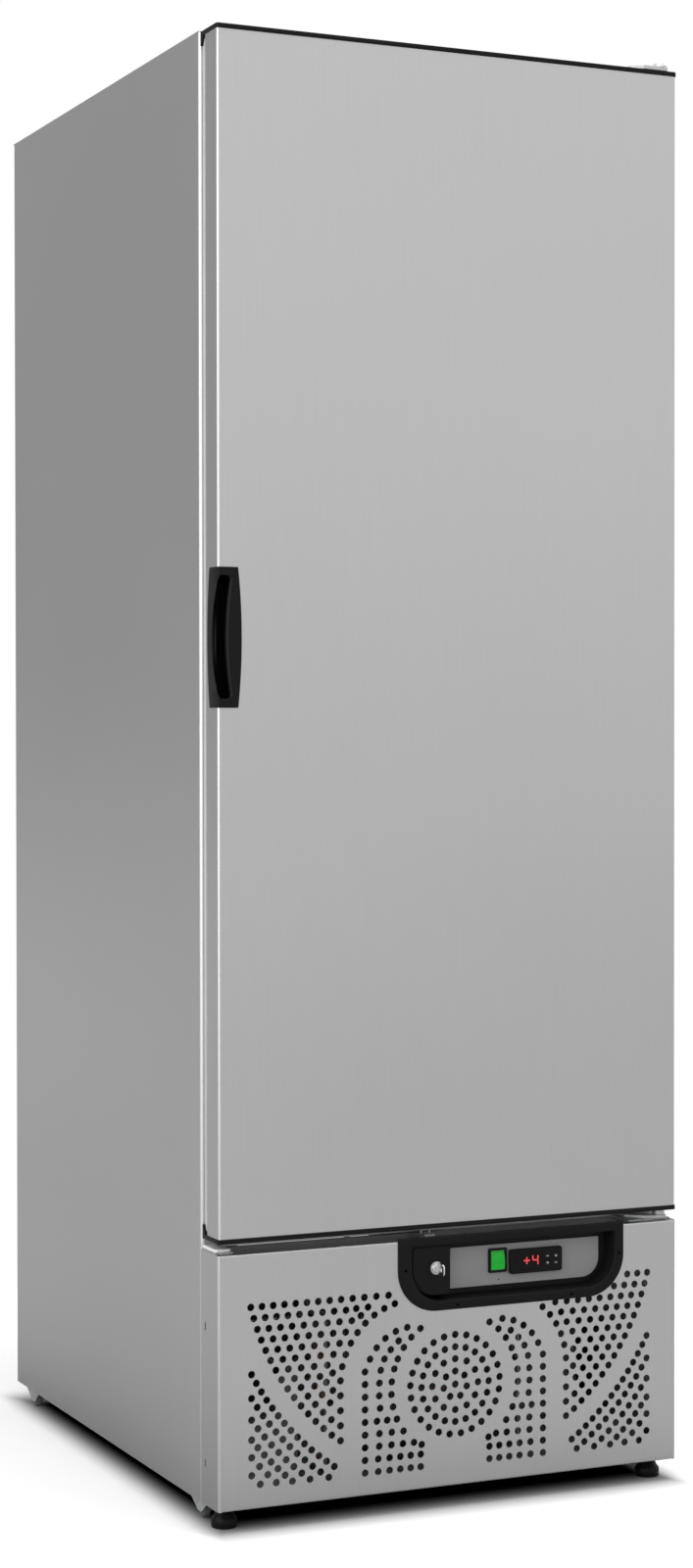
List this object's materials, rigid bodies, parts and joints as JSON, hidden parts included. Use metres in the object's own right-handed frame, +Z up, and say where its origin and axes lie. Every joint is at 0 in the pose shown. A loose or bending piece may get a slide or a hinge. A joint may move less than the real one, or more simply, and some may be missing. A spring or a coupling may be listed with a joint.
{
  "type": "upright refrigerator",
  "caption": "Upright stainless commercial refrigerator with a hinged insulated door, a perforated base panel with controls and a lock, shelves and a condensing unit in the base.",
  "frame": {"origin": "on the floor under the middle of the whole box", "axes": "+Z up, -Y out of the door towards the user, +X to the user's right"},
  "size_m": [0.7, 0.894, 2.013],
  "materials": {
    "stainless": "brushed",
    "galvanised": "satin",
    "foam": "matte",
    "black_plastic": "fine grain",
    "grey_fascia": "satin",
    "smoked_lens": "gloss",
    "button_plastic": "satin",
    "rocker_green": "gloss",
    "seal_rubber": "matte",
    "bright_steel": "bright",
    "nylon": "satin",
    "coated_wire": "satin",
    "aluminium_fins": "satin",
    "copper": "dull",
    "black_steel": "satin",
    "grey_box": "matte",
    "lamp_cover": "frosted",
    "roller_plastic": "satin"
  },
  "bodies": {
    "cabinet": {"side_panel_left": "stainless", "side_panel_right": "stainless", "top_panel": "stainless", "rear_panel": "galvanised", "insulation_foam": "foam", "inner_liner": "stainless", "front_frame": "stainless", "machine_deck": "galvanised", "base_frame": "galvanised", "front_grille_panel": "stainless", "control_bezel": "black_plastic", "control_fascia": "grey_fascia", "lock_barrel": "bright_steel", "rocker_frame": "black_plastic", "thermostat_housing": "black_plastic", "thermostat_lens": "smoked_lens", "top_hinge": "bright_steel", "bottom_hinge": "bright_steel", "hinge_mounts": "galvanised", "shelf_posts": "stainless", "shelf_clips": "stainless", "shelf_1": "coated_wire", "shelf_2": "coated_wire", "shelf_3": "coated_wire", "evaporator_cover": "stainless", "evaporator_coil": "aluminium_fins", "interior_lamp": "lamp_cover", "condenser": "aluminium_fins", "condenser_shroud": "galvanised", "compressor": "black_steel", "refrigerant_pipes": "copper", "condensate_tray": "galvanised", "electrical_box": "grey_box", "power_gland": "black_plastic", "roller_forks": "galvanised", "screws": "bright_steel"},
    "door": {"door_skin": "stainless", "door_foam": "foam", "door_liner": "stainless", "door_cap_top": "black_plastic", "door_cap_bottom": "black_plastic", "door_gasket": "seal_rubber", "door_handle": "black_plastic", "hinge_bushes": "nylon"},
    "lock": {"lock_plug": "bright_steel", "key": "bright_steel"},
    "bolt": {"lock_bolt": "galvanised"},
    "rocker": {"rocker": "rocker_green"},
    "button_set": {"button_set": "button_plastic"},
    "button_up": {"button_up": "button_plastic"},
    "button_down": {"button_down": "button_plastic"},
    "button_defrost": {"button_defrost": "button_plastic"},
    "roller_front_left": {"roller_front_left": "roller_plastic"},
    "roller_front_right": {"roller_front_right": "roller_plastic"},
    "roller_rear_left": {"roller_rear_left": "roller_plastic"},
    "roller_rear_right": {"roller_rear_right": "roller_plastic"},
    "foot_left": {"foot_left": "black_plastic"},
    "foot_right": {"foot_right": "black_plastic"},
    "evaporator_fan": {"evaporator_fan": "black_plastic"},
    "condenser_fan": {"condenser_fan": "black_plastic"}
  },
  "joints": [
    {"name": "door_hinge", "type": "hinge", "parent": "cabinet", "child": "door", "pos_m": [0.334, -0.401, 1.19], "axis": [0, 0, 1], "range_deg": [0, 105]},
    {"name": "lock_turn", "type": "hinge", "parent": "cabinet", "child": "lock", "pos_m": [-0.0285, -0.413, 0.331], "axis": [0, -1, 0], "range_deg": [0, 90]},
    {"name": "bolt_slide", "type": "slide", "parent": "cabinet", "child": "bolt", "axis": [0, 0, 1], "range_m": [0, 0.0199]},
    {"name": "rocker_tilt", "type": "hinge", "parent": "cabinet", "child": "rocker", "pos_m": [0.0739, -0.403, 0.3314], "axis": [1, 0, 0], "range_deg": [0, 12]},
    {"name": "button_set_press", "type": "slide", "parent": "cabinet", "child": "button_set", "axis": [0, 1, 0], "range_m": [0, 0.0008], "stiffness_N_per_m": 500},
    {"name": "button_up_press", "type": "slide", "parent": "cabinet", "child": "button_up", "axis": [0, 1, 0], "range_m": [0, 0.0008], "stiffness_N_per_m": 500},
    {"name": "button_down_press", "type": "slide", "parent": "cabinet", "child": "button_down", "axis": [0, 1, 0], "range_m": [0, 0.0008], "stiffness_N_per_m": 500},
    {"name": "button_defrost_press", "type": "slide", "parent": "cabinet", "child": "button_defrost", "axis": [0, 1, 0], "range_m": [0, 0.0008], "stiffness_N_per_m": 500},
    {"name": "roller_front_left_spin", "type": "hinge", "parent": "cabinet", "child": "roller_front_left", "pos_m": [-0.334, -0.331, 0.015], "axis": [1, 0, 0], "continuous": true},
    {"name": "roller_front_right_spin", "type": "hinge", "parent": "cabinet", "child": "roller_front_right", "pos_m": [0.334, -0.331, 0.015], "axis": [1, 0, 0], "continuous": true},
    {"name": "roller_rear_left_spin", "type": "hinge", "parent": "cabinet", "child": "roller_rear_left", "pos_m": [-0.334, 0.389, 0.013], "axis": [1, 0, 0], "continuous": true},
    {"name": "roller_rear_right_spin", "type": "hinge", "parent": "cabinet", "child": "roller_rear_right", "pos_m": [0.334, 0.389, 0.013], "axis": [1, 0, 0], "continuous": true},
    {"name": "foot_left_screw", "type": "slide", "parent": "cabinet", "child": "foot_left", "axis": [0, 0, -1], "range_m": [0, 0.015]},
    {"name": "foot_right_screw", "type": "slide", "parent": "cabinet", "child": "foot_right", "axis": [0, 0, -1], "range_m": [0, 0.015]},
    {"name": "evaporator_fan_spin", "type": "hinge", "parent": "cabinet", "child": "evaporator_fan", "pos_m": [0, 0.059, 1.85], "axis": [0, 1, 0], "continuous": true},
    {"name": "condenser_fan_spin", "type": "hinge", "parent": "cabinet", "child": "condenser_fan", "pos_m": [0, -0.213, 0.152], "axis": [0, 1, 0], "continuous": true}
  ],
  "couplings": [
    {"joint": "lock_turn", "follows": "bolt_slide", "rad_per_m": 78.9}
  ]
}
